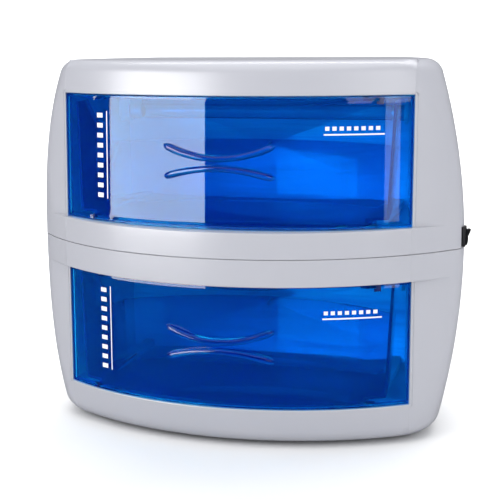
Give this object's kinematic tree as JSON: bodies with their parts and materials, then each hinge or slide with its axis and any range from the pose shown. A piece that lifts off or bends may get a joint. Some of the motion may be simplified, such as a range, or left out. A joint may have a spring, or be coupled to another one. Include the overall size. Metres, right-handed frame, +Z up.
{
  "type": "uv sterilizer cabinet",
  "caption": "Barrel-shaped countertop ultraviolet sterilizer cabinet with bowed translucent blue drawers, a stepped belt between them and a side rocker switch.",
  "frame": {"origin": "on the ground under the middle of the cabinet's bounding box", "axes": "+X to the right of the front, front faces -Y, +Z up"},
  "size_m": [0.4403, 0.266, 0.3655],
  "materials": {
    "housing_plastic": "glossy light cool grey-white moulded plastic",
    "blue_front": "clear deep blue moulded plastic, polished",
    "blue_bin": "clear blue moulded plastic",
    "stainless_sheet": "fine brushed stainless sheet",
    "polished_aluminium": "polished",
    "lamp_glass": "clear quartz tube",
    "lamp_cap_metal": "satin",
    "ivory_plastic": "satin ivory moulded plastic",
    "black_plastic": "satin black",
    "black_gloss": "glossy black",
    "foot_rubber": "matt black rubber",
    "screw_steel": "zinc-plated",
    "pin_metal": "plated brass",
    "ballast_case": "satin light grey"
  },
  "bodies": {
    "cabinet": {"upper_housing": "housing_plastic", "lower_housing": "housing_plastic", "rear_cover": "housing_plastic", "middle_deck": "stainless_sheet", "power_inlet": "black_plastic", "switch_body": "black_plastic", "inlet_pin_left": "pin_metal", "inlet_pin_right": "pin_metal", "inlet_pin_earth": "pin_metal", "lower_lamp_ballast": "ballast_case", "upper_lamp_ballast": "ballast_case", "terminal_block": "ivory_plastic", "cover_screw_low_left": "screw_steel", "cover_screw_low_right": "screw_steel", "cover_screw_mid_left": "screw_steel", "cover_screw_mid_right": "screw_steel", "cover_screw_high_left": "screw_steel", "cover_screw_high_right": "screw_steel", "foot_front_left": "foot_rubber", "foot_screw_front_left": "screw_steel", "foot_front_right": "foot_rubber", "foot_screw_front_right": "screw_steel", "foot_rear_left": "foot_rubber", "foot_screw_rear_left": "screw_steel", "foot_rear_right": "foot_rubber", "foot_screw_rear_right": "screw_steel", "upper_liner": "stainless_sheet", "upper_reflector": "polished_aluminium", "upper_lamp_tube": "lamp_glass", "upper_lamp_cap_left": "lamp_cap_metal", "upper_lampholder_left": "ivory_plastic", "upper_runner_left": "ivory_plastic", "upper_lamp_cap_right": "lamp_cap_metal", "upper_lampholder_right": "ivory_plastic", "upper_runner_right": "ivory_plastic", "upper_interlock_switch": "black_plastic", "lower_liner": "stainless_sheet", "lower_reflector": "polished_aluminium", "lower_lamp_tube": "lamp_glass", "lower_lamp_cap_left": "lamp_cap_metal", "lower_lampholder_left": "ivory_plastic", "lower_runner_left": "ivory_plastic", "lower_lamp_cap_right": "lamp_cap_metal", "lower_lampholder_right": "ivory_plastic", "lower_runner_right": "ivory_plastic", "lower_interlock_switch": "black_plastic"},
    "upper_drawer": {"upper_drawer_front": "blue_front", "upper_drawer_bin": "blue_bin"},
    "lower_drawer": {"lower_drawer_front": "blue_front", "lower_drawer_bin": "blue_bin"},
    "upper_plunger": {"upper_interlock_plunger": "ivory_plastic"},
    "lower_plunger": {"lower_interlock_plunger": "ivory_plastic"},
    "rocker": {"switch_rocker": "black_gloss"}
  },
  "joints": [
    {"name": "upper_drawer_slide", "type": "slide", "parent": "cabinet", "child": "upper_drawer", "axis": [0, -1, 0], "range_m": [0, 0.15]},
    {"name": "lower_drawer_slide", "type": "slide", "parent": "cabinet", "child": "lower_drawer", "axis": [0, -1, 0], "range_m": [0, 0.15]},
    {"name": "upper_plunger_slide", "type": "slide", "parent": "cabinet", "child": "upper_plunger", "axis": [0, -1, 0], "range_m": [0, 0.003]},
    {"name": "lower_plunger_slide", "type": "slide", "parent": "cabinet", "child": "lower_plunger", "axis": [0, -1, 0], "range_m": [0, 0.003]},
    {"name": "switch_tilt", "type": "hinge", "parent": "cabinet", "child": "rocker", "pos_m": [0.21757, -0.0173, 0.197], "axis": [0, -1, 0], "range_deg": [0, 24]}
  ],
  "couplings": [
    {"joint": "upper_plunger_slide", "follows": "upper_drawer_slide", "ratio": 0.02},
    {"joint": "lower_plunger_slide", "follows": "lower_drawer_slide", "ratio": 0.02}
  ]
}
